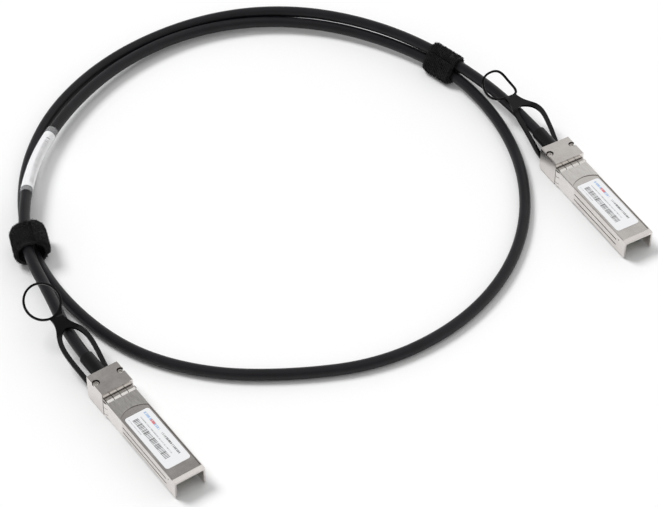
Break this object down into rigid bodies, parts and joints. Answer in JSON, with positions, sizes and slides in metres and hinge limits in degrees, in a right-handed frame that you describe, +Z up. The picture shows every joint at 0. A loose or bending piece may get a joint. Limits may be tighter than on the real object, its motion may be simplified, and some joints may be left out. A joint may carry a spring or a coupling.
{
  "type": "direct attach copper cable",
  "caption": "Twinax data cable in a loose coil held by two straps, with a metal plug, a sprung latch and a pull tab on each end.",
  "frame": {"origin": "middle of the two plugs and their tabs, on the surface that they lie on", "axes": "+Z up; the noses of both plugs point towards -Y, plug A at -X and plug B at +X"},
  "size_m": [0.2412, 0.2248, 0.0198],
  "materials": {
    "die_casting": "nickel-plated die casting, satin",
    "spring_sheet": "plated spring sheet, bright",
    "latch_steel": "stamped steel, satin",
    "screw_steel": "plated screw, satin",
    "crimp_metal": "tinned brass, satin",
    "copper_braid": "tinned copper braid",
    "gold_plating": "gold plate, smooth",
    "card_laminate": "solder mask over laminate",
    "chip_mould": "moulded, matt",
    "wire_insulation": "foamed insulation, satin",
    "boot_rubber": "moulded, matt",
    "cable_jacket": "extruded jacket, satin",
    "tab_polymer": "moulded soft polymer, glossy",
    "strap_fabric": "hook-and-loop fabric",
    "label_paper": "printed film, matt",
    "clear_film": "clear film, glossy"
  },
  "bodies": {
    "cable_set": {"top_housing_a": "die_casting", "bottom_housing_a": "die_casting", "spring_collar_a": "spring_sheet", "paddle_card_a": "card_laminate", "contact_pads_a": "gold_plating", "card_chips_a": "chip_mould", "signal_wires_a": "wire_insulation", "shield_braid_a": "copper_braid", "crimp_ferrule_a": "crimp_metal", "boot_a": "boot_rubber", "housing_screws_a": "screw_steel", "latch_pin_a": "latch_steel", "latch_spring_a": "spring_sheet", "plug_label_a": "label_paper", "top_housing_b": "die_casting", "bottom_housing_b": "die_casting", "spring_collar_b": "spring_sheet", "paddle_card_b": "card_laminate", "contact_pads_b": "gold_plating", "card_chips_b": "chip_mould", "signal_wires_b": "wire_insulation", "shield_braid_b": "copper_braid", "crimp_ferrule_b": "crimp_metal", "boot_b": "boot_rubber", "housing_screws_b": "screw_steel", "latch_pin_b": "latch_steel", "latch_spring_b": "spring_sheet", "plug_label_b": "label_paper", "cable": "cable_jacket", "cable_label": "label_paper", "label_film": "clear_film", "left_strap": "strap_fabric", "upper_strap": "strap_fabric"},
    "pull_a": {"pull_tab_a": "tab_polymer", "release_slider_a": "latch_steel"},
    "latch_a": {"latch_lever_a": "latch_steel"},
    "pull_b": {"pull_tab_b": "tab_polymer", "release_slider_b": "latch_steel"},
    "latch_b": {"latch_lever_b": "latch_steel"}
  },
  "joints": [
    {"name": "pull_a", "type": "slide", "parent": "cable_set", "child": "pull_a", "axis": [0, 1, 0], "range_m": [0, 0.0025], "stiffness_N_per_m": 400},
    {"name": "latch_a", "type": "hinge", "parent": "cable_set", "child": "latch_a", "pos_m": [-0.111, -0.0066, 0.00215], "axis": [-1, 0, 0], "range_deg": [0, 6.6], "stiffness_Nm_per_rad": 0.02, "deforming": ["latch_spring_a"]},
    {"name": "pull_b", "type": "slide", "parent": "cable_set", "child": "pull_b", "axis": [0.0902, 0.9959, 0], "range_m": [0, 0.0025], "stiffness_N_per_m": 400},
    {"name": "latch_b", "type": "hinge", "parent": "cable_set", "child": "latch_b", "pos_m": [0.10875, -0.00829, 0.00215], "axis": [-0.9959, 0.0902, 0], "range_deg": [0, 6.6], "stiffness_Nm_per_rad": 0.02, "deforming": ["latch_spring_b"]}
  ],
  "couplings": [
    {"joint": "latch_a", "follows": "pull_a", "rad_per_m": 45.379},
    {"joint": "latch_b", "follows": "pull_b", "rad_per_m": 45.379}
  ]
}
